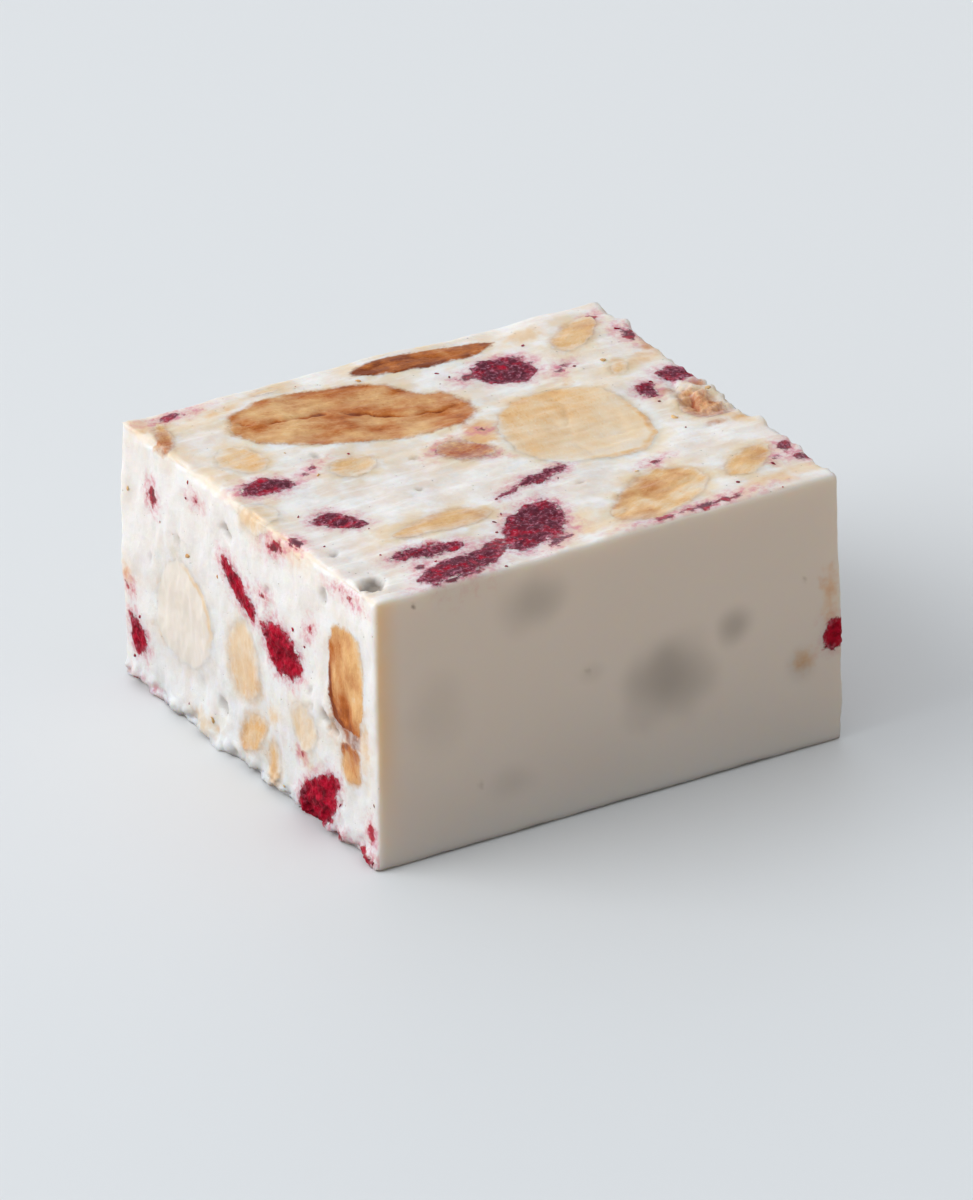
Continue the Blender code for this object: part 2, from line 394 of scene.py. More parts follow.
def latticeBox(cells):
    # a grid over the six sides of a cube from -1 to 1, its quads facing out
    counts = np.array(cells)
    quads = []
    for axis in range(3):
        across, up = (axis + 1) % 3, (axis + 2) % 3
        i, j = np.meshgrid(np.arange(counts[across]), np.arange(counts[up]), indexing="ij")
        steps = ((0, 0), (1, 0), (1, 1), (0, 1))
        for side in (0, 1):
            corners = np.zeros((i.size, 4, 3), int)
            for corner, (di, dj) in enumerate(steps if side else steps[::-1]):
                corners[:, corner, across] = (i + di).ravel()
                corners[:, corner, up] = (j + dj).ravel()
            corners[:, :, axis] = counts[axis] * side
            quads.append(corners)
    flat = np.concatenate(quads).reshape(-1, 3)
    points, index = np.unique(flat, axis=0, return_inverse=True)
    return points / counts * 2 - 1, index.reshape(-1, 4)


def cornerShift(points):
    # points are from the middle of the block
    share = points / halfSize
    total = np.zeros_like(points)
    for corner, shift in block["cornerShift"].items():
        weight = np.prod((1 + share * np.array(corner)) / 2, axis=1)
        total += weight[:, None] * np.array(shift)
    return total


def swellAt(points):
    turn = 2 * math.pi / block["swellLength"]
    raised = points + (0, 0, halfSize[2])
    waves = [np.sin(turn * raised @ np.array(way) + phase) for way, phase in block["swellWaves"]]
    return sum(waves) / len(waves)


def onEdges(points):
    # from the surface of the true box to the box with round edges, with the way out there
    # an edge between two cut faces is uneven, and one at a moulded side is straight
    low, high = block["edge"]
    between = smooth(0.0, block["calmEdge"], halfSize[1] - np.abs(points[:, 1]))
    edge = low + (high - low) * (between * (0.5 + noiseAt(points, *block["edgeWave"])))[:, None]
    inner = np.clip(points, edge - halfSize, halfSize - edge)
    out = points - inner
    out /= np.linalg.norm(out, axis=1)[:, None]
    return inner + out * edge, out


def onSkin(points):
    # where these points of the true box's surface lie on the real block, before its fine relief
    rounded, out = onEdges(points)
    foot = smooth(0.0, 1.0, (points[:, 2] + halfSize[2]) / (block["size"][2] * block["footShare"]))
    cut = np.abs(out[:, 0]) * foot + np.clip(out[:, 2], 0, 1)
    moulded = np.abs(out[:, 1]) * foot
    swell = swellAt(points) * (cut * block["cutSwell"] + moulded * block["mouldedSwell"])
    return rounded + cornerShift(points) + out * swell[:, None], out


def toSurface(points):
    # pushes points in the block out to the nearest side of the true box
    flat = points - cornerShift(points)
    nearest = (halfSize - np.abs(flat)).argmin(axis=1)
    rows = np.arange(len(flat))
    flat[rows, nearest] = np.sign(flat[rows, nearest]) * halfSize[nearest]
    return np.clip(flat, -halfSize, halfSize)


def depthOf(points):
    # how far below the skin each point lies, with the way out
    skin, out = onSkin(toSurface(points))
    return ((skin - points) * out).sum(axis=1), out


# how each nut looks: its tone from cream at 0 to dark caramel at 1, how far the white film
# covers it, how strong its grain is, and how far a crack runs along its middle
nutLooks = {
    "nut_top_large": (0.65, 0.14, 1.0, 0.8),
    "nut_top_caramel": (0.90, 0.04, 0.8, 0.4),
    "nut_top_pale": (0.26, 0.34, 0.4, 0.2),
    "nut_top_front": (0.44, 0.38, 0.8, 0.3),
    "nut_top_front_small": (0.42, 0.40, 0.7, 0.0),
    "nut_top_back_corner": (0.46, 0.34, 0.7, 0.0),
    "nut_top_back_small": (0.40, 0.55, 0.7, 0.0),
    "nut_top_left_edge": (0.58, 0.22, 0.7, 0.0),
    "nut_top_left": (0.32, 0.65, 0.6, 0.0),
    "nut_top_middle_small": (0.38, 0.50, 0.6, 0.0),
    "nut_top_middle_red": (0.72, 0.30, 0.8, 0.2),
    "nut_top_streak": (0.46, 0.50, 0.6, 0.0),
    "nut_top_right_edge": (0.46, 0.50, 1.6, 0.9),
    "nut_top_right_small": (0.40, 0.50, 0.7, 0.0),
    "nut_top_left_rim": (0.20, 0.80, 0.5, 0.0),
    "nut_left_front": (0.56, 0.05, 0.7, 0.2),
    "nut_left_front_chip": (0.52, 0.15, 0.7, 0.3),
    "nut_left_round": (0.0, 0.20, 0.12, 0.0),
    "nut_left_middle": (0.25, 0.50, 0.3, 0.0),
    "nut_left_low": (0.38, 0.35, 0.4, 0.0),
    "nut_left_foot": (0.34, 0.55, 0.4, 0.0),
    "nut_left_small": (0.16, 0.60, 0.3, 0.0),
    "nut_right_long": (0.50, 0.20, 0.9, 0.4),
    "nut_right_round": (0.26, 0.35, 0.7, 0.2),
    "nut_right_back": (0.56, 0.20, 0.9, 0.5),
    "nut_right_upper": (0.38, 0.35, 0.7, 0.0),
    "nut_under_large": (0.58, 0.25, 1.0, 0.7),
    "nut_under_pale": (0.28, 0.40, 0.7, 0.2),
    "nut_under_front": (0.36, 0.35, 0.7, 0.0),
    "nut_under_back": (0.48, 0.25, 0.8, 0.3),
    "nut_under_corner": (0.34, 0.35, 0.7, 0.0),
}
# a nut whose tone changes across it: the way towards the darker side, and how much darker
nutTilts = {
    "nut_top_large": ((0.75, 0.45, 0.0), 0.10),
    "nut_top_caramel": ((-1.0, -0.2, 0.0), 0.14),
    "nut_top_pale": ((-0.4, 0.9, 0.0), 0.15),
    "nut_top_front": ((-0.7, 0.6, 0.0), 0.08),
    "nut_left_front": ((0.0, 0.85, -0.55), 0.34),
    "nut_left_front_chip": ((0.0, -0.6, 0.8), 0.16),
    "nut_left_middle": ((0.0, -0.2, -1.0), 0.10),
    "nut_left_low": ((0.0, -0.5, -0.8), 0.10),
    "nut_right_long": ((0.0, -0.7, -0.7), 0.12),
    "nut_right_back": ((0.0, 0.8, 0.6), 0.12),
    "nut_under_large": ((-0.6, 0.8, 0.0), 0.12),
}
# where the brown skin is left on a nut: the way towards it in the face, and how much of it
nutSkins = {
    "nut_top_pale": ((0.75, -0.65, 0.0), 0.7),
    "nut_top_caramel": ((0.1, -1.0, 0.0), 0.5),
    "nut_top_large": ((0.5, 0.85, 0.0), 0.2),
    "nut_left_front": ((0.0, 0.8, -0.6), 1.0),
    "nut_left_front_chip": ((0.0, 0.7, 0.7), 0.8),
    "nut_left_round": ((0.0, -0.8, 0.6), 0.5),
    "nut_top_right_edge": ((-0.4, -0.9, 0.0), 0.8),
    "nut_right_long": ((0.0, -0.8, -0.6), 0.9),
    "nut_right_back": ((0.0, 0.8, 0.6), 0.9),
    "nut_under_large": ((-0.6, 0.8, 0.0), 0.9),
}
# nuts that the berries have stained
nutStains = {
    "nut_top_middle_red": 0.75,
    "nut_top_right_edge": 0.45,
    "nut_top_left_edge": 0.25,
}
# where the white closes over an inlay again: the middle and the radius, in mm
bites = {
    "nut_top_large": (3.1, 13.9, 10.75, 3.7),
}
inlayForm = {
    "voxel": (0.075, 0.17),   # mm, on a small and on a large inlay
    "voxelShare": 60.0,
    "capDepth": 0.40,
    "capTilt": 0.75,
    "nutGrow": 0.26,
    "berryGrow": 0.42,
    "proud": 0.03,
    "sunk": 0.22,
    "lip": (0.14, -0.10),
    "nutRagged": 0.42,
    "berryRagged": 0.80,
    "tornEdge": ((0.5, 11.0, 0.4), (1.3, 5.0, 0.35), (3.1, 8.0, 0.25)),
    "toneReach": 1.2,
    "opening": (0.15, 0.47),
    "smoothing": (4, 0.5),       # how often and how far
    "capFade": (0.34, 0.16),
    "reliefFade": (0.05, 0.8),
    "skinFade": (0.25, 0.95),
}


class Inlay:
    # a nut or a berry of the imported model, with its hidden wall kept for measuring
    def __init__(self, name):
        self.name = name
        self.isBerry = name.startswith("berry")
        self.grow = inlayForm["berryGrow" if self.isBerry else "nutGrow"]
        self.ragged = inlayForm["berryRagged" if self.isBerry else "nutRagged"]
        mesh = bmesh.new()
        mesh.from_mesh(frame["nodes"][name].data)
        bmesh.ops.remove_doubles(mesh, verts=mesh.verts, dist=1e-6)
        self.points = np.array([vertex.co for vertex in mesh.verts]) / mm - (0, 0, halfSize[2])
        self.faces = [[vertex.index for vertex in face.verts] for face in mesh.faces]
        self.lowest, self.highest = self.points.min(axis=0), self.points.max(axis=0)
        centres = np.array([self.points[face].mean(axis=0) for face in self.faces])
        normals = np.array([face.normal for face in mesh.faces])
        self.copy = bpy.data.meshes.new(name)
        mesh.to_mesh(self.copy)
        mesh.free()
        depth, out = depthOf(centres)
        isCap = ((normals * out).sum(axis=1) > inlayForm["capTilt"]) & (depth < inlayForm["capDepth"])
        wall = [face for face, cap in zip(self.faces, isCap) if not cap]
        corners = [tuple(point) for point in self.points]
        self.wall = BVHTree.FromPolygons(corners, wall)
        self.solid = BVHTree.FromPolygons(corners, self.faces)
        cap = self.points[[i for face, keep in zip(self.faces, isCap) if keep for i in face]]
        self.middle = cap.mean(axis=0)
        ways = np.linalg.eigh(np.cov((cap - self.middle).T))[1]
        self.along, self.aside = ways[:, 2], ways[:, 1]

    def rim(self, points, out):
        # how far inside the outline each point of the skin is, below 0 outside it
        found = []
        for point, way in zip(points - out * inlayForm["sunk"], out):
            start = Vector(point)
            distance = self.wall.find_nearest(start)[3]
            hit, normal = self.solid.ray_cast(start, Vector(-way))[:2]
            inside = hit is not None and normal.dot(Vector(way)) < 0
            found.append(distance if inside else -distance)
        rim = np.array(found)
        if self.name in bites:
            *middle, radius = bites[self.name]
            rim = np.minimum(rim, np.linalg.norm(points - middle, axis=1) - radius)
        # the line where it meets the white is torn and uneven
        return rim + self.ragged * layersAt(points, inlayForm["tornEdge"])

    def toneAt(self, points):
        tone = np.full(len(points), nutLooks[self.name][0])
        if self.name in nutTilts:
            way, change = nutTilts[self.name]
            reach = np.abs((self.points - self.middle) @ np.array(way)).max()
            furthest = inlayForm["toneReach"]
            tone += change * np.clip((points - self.middle) @ np.array(way) / reach, -furthest, furthest)
        return tone

    def near(self, points, reach):
        return np.all((points > self.lowest - reach) & (points < self.highest + reach), axis=1)


inlays = [Inlay(name) for name in sorted(frame["nodes"]) if name != "nougat_body"]
print("read", len(inlays), "inlays from the frame")

# fine relief of the white: the height of each kind of unevenness in mm, and its wave or its layers
relief = {
    "facing": (1.4, 0.3),
    "cutFacing": (1.6, 0.5),
    "lumps": (0.13, (0.38, 7.0)),
    "drag": (0.09, ((0.13, 1.05, 0.5), 2.0)),
    "torn": (0.12, ((0.6, 0.75, 0.34), 9.0)),
    "grain": (0.035, (2.3, 4.0)),
    "nutGrain": 0.2,   # share of the grain on a nut
    "endGrain": 1.6,
    "moulded": (0.03, (0.16, 8.0)),
    "foot": (0.66, (((0.5, 0.42, 0.5), 13.0, 1.0), (1.1, 6.0, 0.7), (2.4, 3.0, 0.45))),
    "footReach": (2.4, 0.2),
    "corner": (0.46, (0.7, 15.0)),
    "cornerFacing": (0.25, 0.6),
    "broken": (0.42, ((0.9, 6.0, 1.0), (2.3, 2.0, 0.5))),
    "brokenReach": (5.5, 2.5),
}
brokenAt = (19.6, -0.8, 10.75)   # the crumbled nut at the right edge of the top
# small pits and nicks: across and up from the middle of a face, length, width and how deep, in mm,
# and how dark the painted shade in it is
pits = {
    "top": (
        (-18.3, -15.2, 2.9, 2.1, 0.55, 1.0), (-11.0, 5.4, 0.9, 0.6, 0.16, 0.4),
        (-7.3, -3.4, 0.8, 0.6, 0.16, 0.4), (-18.2, -9.6, 1.0, 0.7, 0.2, 0.5),
        (-5.0, 1.4, 0.8, 0.5, 0.14, 0.35), (3.0, -9.2, 0.7, 0.5, 0.12, 0.3),
        (11.4, -4.6, 0.7, 0.5, 0.12, 0.3), (12.6, 9.4, 0.8, 0.6, 0.14, 0.35),
    ),
    "left": (
        (11.3, -1.7, 1.2, 3.0, 0.5, 1.0), (-3.0, 7.8, 1.8, 1.1, 0.28, 0.55),
        (10.9, 8.3, 1.4, 1.1, 0.2, 0.45), (-3.9, -7.1, 1.7, 1.3, 0.24, 0.5),
        (-10.2, 4.2, 1.6, 0.7, 0.14, 0.3), (-14.2, 1.0, 1.1, 0.6, 0.12, 0.3),
        (3.0, 5.6, 0.9, 0.7, 0.14, 0.3), (8.8, -0.2, 1.0, 0.6, 0.16, 0.4),
        (13.0, -7.4, 0.9, 0.7, 0.14, 0.35),
    ),
    "front": (
        (-16.8, 9.7, 0.5, 0.35, 0.05, 0.9), (-1.9, 0.6, 0.7, 0.5, 0.02, 0.25),
        (-11.2, -6.0, 0.7, 0.5, 0.02, 0.25), (16.8, 3.0, 0.5, 0.4, 0.02, 0.35),
    ),
    "right": (
        (-4.0, -2.0, 1.4, 1.0, 0.22, 0.45), (8.0, 2.6, 1.2, 0.8, 0.18, 0.4),
        (14.8, 6.6, 1.5, 1.0, 0.22, 0.45), (-15.2, 7.0, 1.1, 0.8, 0.16, 0.35),
    ),
    "under": (
        (2.0, 2.0, 1.6, 1.2, 0.22, 0.45), (-10.0, 9.0, 1.2, 0.9, 0.18, 0.4),
    ),
}
# the edge value in mm where no spot and no inlay is near, how squarely a spot faces the same way as its
# face at least, and how far round an inlay its edge is measured, in mm
farOff = {"spot": -9.0, "inlay": -4.0, "facing": 0.3, "reach": 2.6}
pitForm = {"turn": 7.0, "uneven": 0.25, "scale": 1.6, "wall": (-0.1, 0.3)}
# across and up on each face, as unit vectors
faceWays = {
    "top": ((1, 0, 0), (0, 1, 0)),
    "left": ((0, -1, 0), (0, 0, 1)),
    "front": ((1, 0, 0), (0, 0, 1)),
    "right": ((0, 1, 0), (0, 0, 1)),
    "under": ((1, 0, 0), (0, -1, 0)),
}


def eachSpot(table):
    return ((face, *row) for face, rows in table.items() for row in rows)


def spotAt(points, out, face, across, up, length, width, turn=0.0):
    # how far inside an oval on one face each point is, in mm, below 0 outside it
    right, upward = (np.array(way, float) for way in faceWays[face])
    outward = np.cross(right, upward)
    x, y = points @ right - across, points @ upward - up
    cosine, sine = math.cos(math.radians(turn)), math.sin(math.radians(turn))
    along, aside = (x * cosine + y * sine) * 2 / length, (y * cosine - x * sine) * 2 / width
    inside = (1 - np.hypot(along, aside)) * min(length, width) / 2
    return np.where(out @ outward > farOff["facing"], inside, farOff["spot"])


def reliefOf(points, out, grainShare):
    def waves(name, shape=noiseAt):
        height, wave = relief[name]
        return height * shape(points, *wave)

    def layers(name):
        height, parts = relief[name]
        return height * layersAt(points, parts)

    # drawn by the knife along X on the top and underside, torn on the ends, smooth on the sides
    gain, start = relief["facing"]
    end, side, lid = np.clip(np.abs(out) * gain - start, 0, 1).T
    lumps, grain = waves("lumps"), waves("grain") * grainShare
    height = lid * (lumps + waves("drag", turbulenceAt) + grain)
    height += end * (lumps + waves("torn", turbulenceAt) + grain * relief["endGrain"])
    height += side * waves("moulded")
    # the ends are ragged where they meet the underside, and wavy where they meet the top
    height += end * smooth(*relief["footReach"], points[:, 2] + halfSize[2]) * layers("foot")
    corner = smooth(*relief["cornerFacing"], np.abs(out[:, [0, 2]])).prod(axis=1)
    height += corner * waves("corner")
    near = smooth(*relief["brokenReach"], np.linalg.norm(points - brokenAt, axis=1))
    return height + near * layers("broken")


def pitsAt(points, out):
    # how deep each point lies in one of the pits, and how dark the painted shade there is
    deep, dark = np.zeros(len(points)), np.zeros(len(points))
    outer, inner = pitForm["wall"]
    for face, across, up, length, width, depth, shade in eachSpot(pits):
        inside = spotAt(points, out, face, across, up, length, width, pitForm["turn"] * across)
        uneven = noiseAt(points, pitForm["scale"], across) * (inside > -width)
        inside += pitForm["uneven"] * width * uneven
        share = smooth(outer * width, inner * width, inside)
        deep = np.maximum(deep, depth * share)
        dark = np.maximum(dark, shade * share)
    return deep, dark


def skinWithRelief(flat, grainShare=1.0):
    points, out = onSkin(flat)
    return points, out, reliefOf(flat, out, grainShare)


def normalsOf(points, faces):
    # the normal at each point of a mesh of quads
    corners = points[np.array(faces)]
    facing = np.cross(corners[:, 2] - corners[:, 0], corners[:, 3] - corners[:, 1])
    normals = np.zeros_like(points)
    for corner in range(4):
        np.add.at(normals, np.array(faces)[:, corner], facing)
    return normals / (np.linalg.norm(normals, axis=1)[:, None] + 1e-12)


def meshObject(name, points, faces, attributes, material, flush):
    # flush is where the points would be if no inlay were sunk: the shading follows that
    mesh = bpy.data.meshes.new(name)
    mesh.from_pydata((points + (0, 0, halfSize[2])) * mm, [], faces)
    for attribute, values in attributes.items():
        kind = "FLOAT_VECTOR" if values.ndim == 2 else "FLOAT"
        layer = mesh.attributes.new(attribute, kind, "POINT")
        layer.data.foreach_set("vector" if values.ndim == 2 else "value", values.ravel())
    mesh.materials.append(material)
    mesh.shade_smooth()
    mesh.normals_split_custom_set_from_vertices(normalsOf(flush, faces))
    made = bpy.data.objects.new(name, mesh)
    bpy.context.scene.collection.objects.link(made)
    return made


# grey shades of nuts that lie just beneath the smooth front: across, up, width, height, strength
shades = (
    (-6.6, 7.3, 6.0, 5.0, 0.50), (5.0, -1.9, 8.4, 7.6, 0.75), (10.8, 0.9, 3.6, 3.2, 0.60),
    (16.3, -3.6, 3.0, 3.4, 0.30), (-8.5, -6.6, 4.2, 3.0, 0.22), (-1.6, 0.4, 2.4, 1.8, 0.16),
    (-15.0, 1.0, 6.0, 7.0, 0.18),
)
shadeForm = {"uneven": 0.25, "scale": 0.4, "fade": (-0.25, 0.9)}
# flat crumbs of berry and stains that are part of the surface: across and up from the middle of a
# face, length, width and turn
berrySpecks = {
    "top": (
        (5.4, 11.5, 1.9, 1.1, 20), (19.0, 11.6, 1.0, 2.0, 0), (11.8, 9.0, 1.3, 0.7, 40),
        (-16.2, 17.3, 2.2, 0.7, 5), (-19.6, -6.3, 1.0, 1.6, 10), (18.9, -12.2, 1.8, 1.1, 60),
        (19.3, -14.2, 1.5, 1.0, -40), (17.6, -13.4, 0.9, 0.5, 20), (-3.0, -16.3, 2.8, 1.1, 32),
        (-7.9, -15.2, 3.4, 1.8, 38), (-12.6, -17.6, 4.6, 1.5, 6), (17.9, 15.4, 1.3, 0.6, 30),
        (1.3, 2.4, 0.7, 0.5, 0), (-14.0, -14.9, 1.1, 0.7, 30), (-1.0, -9.9, 0.6, 0.4, 0),
        (9.6, -9.0, 0.7, 0.4, 10), (-2.4, 1.5, 1.7, 0.8, 30), (-0.6, -0.6, 1.2, 0.5, -50),
        (9.0, -17.7, 4.8, 0.9, 4), (5.4, -17.9, 2.4, 0.5, -3), (-12.6, 3.4, 1.4, 0.5, 30),
    ),
    "left": (
        (-14.0, 6.3, 1.3, 1.7, 0), (4.1, 9.5, 2.0, 0.9, 20), (16.4, -10.3, 2.6, 1.0, 0),
        (12.6, -10.4, 2.0, 0.8, 10), (-15.8, -10.6, 2.0, 0.6, 0), (-17.6, -2.6, 0.9, 0.7, 0),
        (2.4, 4.9, 0.6, 0.4, 0), (8.9, 4.7, 0.7, 0.4, 60), (17.3, -8.2, 0.8, 1.2, 0),
        (7.7, -5.9, 0.5, 0.4, 0), (-7.6, 8.4, 0.6, 0.4, 0), (14.2, 9.6, 1.2, 0.4, 0),
    ),
    "right": (
        (-16.4, 2.0, 1.3, 0.9, 30), (7.4, -1.6, 1.1, 0.7, 70), (0.4, 8.0, 1.6, 0.7, 10),
        (15.0, -9.6, 1.8, 0.8, 0), (-6.4, -8.9, 1.2, 0.7, -20), (16.4, 4.6, 0.8, 1.2, 0),
    ),
    "under": (
        (6.0, 1.6, 1.5, 0.9, 40), (-11.0, -3.4, 1.3, 0.8, -30), (-3.0, 14.0, 1.4, 0.7, 0),
        (16.0, 0.6, 1.1, 0.8, 60),
    ),
}
# flat bits of nut, the same with their tone as the last value
nutBits = {
    "top": (
        (10.6, 6.2, 1.2, 0.7, 40, 0.45), (0.4, -15.4, 4.8, 2.4, 24, 0.2),
        (-12.4, -9.4, 3.0, 1.9, 0, 0.22), (17.8, 7.6, 1.6, 1.1, 30, 0.5),
        (1.2, 2.2, 4.6, 3.0, 50, 0.42), (18.2, -4.2, 1.4, 0.9, 20, 0.8), (16.2, 1.2, 1.1, 0.8, 0, 0.8),
        (19.0, 1.2, 1.4, 1.0, 40, 0.75), (16.9, -5.6, 1.0, 0.7, 0, 0.7), (19.2, 9.0, 1.0, 1.6, 0, 0.6),
        (-18.6, 16.6, 1.6, 1.0, 0, 0.45), (-18.2, 6.0, 1.2, 3.4, 0, 0.2),
        (18.8, -5.6, 1.5, 1.8, 30, 0.4), (-13.9, 15.6, 4.2, 1.3, 12, 0.24),
        (12.6, 15.6, 2.6, 1.2, 10, 0.26), (15.8, -16.4, 4.0, 1.2, 6, 0.3),
        (-2.6, 1.9, 3.2, 1.5, 20, 0.48), (9.9, -5.6, 1.0, 0.6, 10, 0.34),
    ),
    "left": (
        (7.9, -5.9, 1.6, 1.1, 0, 0.42), (14.0, -1.5, 3.6, 1.5, -8, 0.92),
        (-17.4, -1.9, 1.2, 1.2, 0, 0.5), (11.8, -1.9, 1.0, 1.7, 20, 0.62),
        (3.4, -4.6, 1.4, 1.0, 30, 0.3), (-6.6, -9.5, 3.0, 1.2, 5, 0.22), (16.6, -1.2, 1.0, 3.6, 0, 0.3),
        (5.6, 9.9, 3.4, 0.9, 0, 0.24),
    ),
    "front": (
        (16.6, -3.4, 1.4, 1.2, 20, 0.4), (18.9, 1.2, 0.7, 2.2, 0, 0.45),
    ),
    "right": (
        (-14.6, -1.6, 1.6, 1.0, 30, 0.4), (9.4, 7.2, 2.0, 1.0, 10, 0.34),
        (-3.4, -9.0, 2.4, 1.2, 10, 0.3),
    ),
    "under": (
        (-16.4, 3.0, 1.8, 1.2, 0, 0.4), (3.4, -14.2, 2.2, 1.1, 20, 0.36),
    ),
}


def shadeAt(points, out):
    total = np.zeros(len(points))
    outer, inner = shadeForm["fade"]
    for across, up, width, height, strength in shades:
        inside = spotAt(points, out, "front", across, up, width, height)
        reach = min(width, height) / 2
        inside += shadeForm["uneven"] * reach * noiseAt(points, shadeForm["scale"], across)
        total = np.maximum(total, strength * smooth(outer * reach, inner * reach, inside))
    return total * np.clip(-out[:, 1], 0, 1)


bitForm = {"tone": 0.3, "film": 0.5, "wave": (1.9, 23.0), "nutRagged": 0.5, "berryRagged": 0.35}


def makeBody(material):
    flat, faces = latticeBox(block["cells"])
    flat = flat * halfSize
    points, out, height = skinWithRelief(flat)
    nutEdge = np.full(len(points), farOff["inlay"])
    berryEdge = nutEdge.copy()
    tone = np.full(len(points), bitForm["tone"])
    film = np.full(len(points), bitForm["film"])
    for inlay in inlays:
        rows = np.flatnonzero(inlay.near(points, farOff["reach"]))
        rim = inlay.rim(points[rows], out[rows])
        if inlay.isBerry:
            berryEdge[rows] = np.maximum(berryEdge[rows], rim)
        else:
            nearer = rim > nutEdge[rows]
            nutEdge[rows[nearer]] = rim[nearer]
            tone[rows[nearer]] = inlay.toneAt(points[rows[nearer]])
            film[rows[nearer]] = nutLooks[inlay.name][1]
    opening = smooth(*inlayForm["opening"], np.maximum(nutEdge, berryEdge))
    wander = noiseAt(flat, *bitForm["wave"])
    for *spot, spotTone in eachSpot(nutBits):
        rim = spotAt(flat, out, *spot) + bitForm["nutRagged"] * wander
        nearer = rim > nutEdge
        nutEdge[nearer], tone[nearer], film[nearer] = rim[nearer], spotTone, bitForm["film"]
    for spot in eachSpot(berrySpecks):
        rim = spotAt(flat, out, *spot)
        berryEdge = np.maximum(berryEdge, rim + bitForm["berryRagged"] * wander)
    # the pits are dented, and painted darker as well: painted shade
    deep, dark = pitsAt(flat, out)
    gain, start = relief["cutFacing"]
    flush = points + out * (height - deep)[:, None]
    points = flush - out * (block["dish"] * opening)[:, None]
    points[:, 2] = np.maximum(points[:, 2], -halfSize[2])
    attributes = {
        "nutEdge": nutEdge,
        "berryEdge": berryEdge,
        "tone": tone,
        "film": film,
        "cut": np.clip(gain * np.maximum(np.abs(out[:, 0]), np.abs(out[:, 2])) - start, 0, 1),
        "lid": np.clip(out[:, 2], 0, 1),
        "shade": shadeAt(flat, out),
        "pit": dark,
    }
    return meshObject("nougat_white", points, faces, attributes, material, flush)


def denseCopy(inlay):
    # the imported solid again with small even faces
    size = max(inlay.highest - inlay.lowest)
    small, large = inlayForm["voxel"]
    maker = bpy.data.objects.new("dense", inlay.copy)
    bpy.context.scene.collection.objects.link(maker)
    remesh = maker.modifiers.new("even faces", "REMESH")
    remesh.mode = "VOXEL"
    remesh.voxel_size = float(np.clip(size / inlayForm["voxelShare"], small, large)) * mm
    graph = bpy.context.evaluated_depsgraph_get()
    mesh = bmesh.new()
    mesh.from_mesh(maker.evaluated_get(graph).to_mesh())
    times, factor = inlayForm["smoothing"]
    ways = {"use_axis_x": True, "use_axis_y": True, "use_axis_z": True}
    for _ in range(times):
        bmesh.ops.smooth_vert(mesh, verts=mesh.verts, factor=factor, **ways)
    points = np.array([vertex.co for vertex in mesh.verts]) / mm - (0, 0, halfSize[2])
    faces = [[vertex.index for vertex in face.verts] for face in mesh.faces]
    mesh.free()
    bpy.data.objects.remove(maker)
    return points, faces


# the surface of a nut and of a berry: heights in mm, and waves as in the relief of the white
nutForm = {
    "fibre": (0.06, ((0.22, 1.5, 0.0), 5.0)),
    "swell": (0.07, (0.5, 21.0)),
    "crack": {"depth": 0.28, "width": 0.26, "inset": (0.2, 1.2)},
    "bend": (0.6, 0.55, 0.4),
    "wander": (0.4, (0.8, 0.0)),
    "gaps": ((-0.5, 0.1), (0.35, 3.0)),
}
berryForm = {
    "grain": (0.20, (1.35, 2.0)),
    "grainMiddle": 0.55,
    "crumb": (0.07, (2.8, 17.0)),
    "hollow": (0.14, (0.55, 19.0)),
    "sunk": 0.05,
}


def nutRelief(along, aside, rim, grain, crack):
    inFace = np.column_stack([along, aside, aside * 0])
    fibre, fibreWave = nutForm["fibre"]
    swell, swellWave = nutForm["swell"]
    uneven = fibre * turbulenceAt(inFace, *fibreWave) + swell * noiseAt(inFace, *swellWave)
    # the crack bends, wanders and has gaps
    far, wave = nutForm["wander"]
    bend, turn, start = nutForm["bend"]
    line = aside - bend * np.sin(along * turn + start)
    line += far * noiseAt(np.column_stack([along, along, aside]), *wave)
    gaps, gapWave = nutForm["gaps"]
    whole = smooth(*gaps, noiseAt(np.column_stack([along, along, along]), *gapWave))
    form = nutForm["crack"]
    cleft = np.exp(-(line / form["width"]) ** 2) * smooth(*form["inset"], rim) * whole
    return grain * uneven - form["depth"] * crack * cleft, cleft * crack


def berryRelief(points):
    (grain, grainWave), (crumb, crumbWave) = berryForm["grain"], berryForm["crumb"]
    hollow, hollowWave = berryForm["hollow"]
    grains = cellsAt(points, *grainWave)
    height = grain * (berryForm["grainMiddle"] - grains) + crumb * noiseAt(points, *crumbWave)
    return height + hollow * noiseAt(points, *hollowWave) - berryForm["sunk"], grains


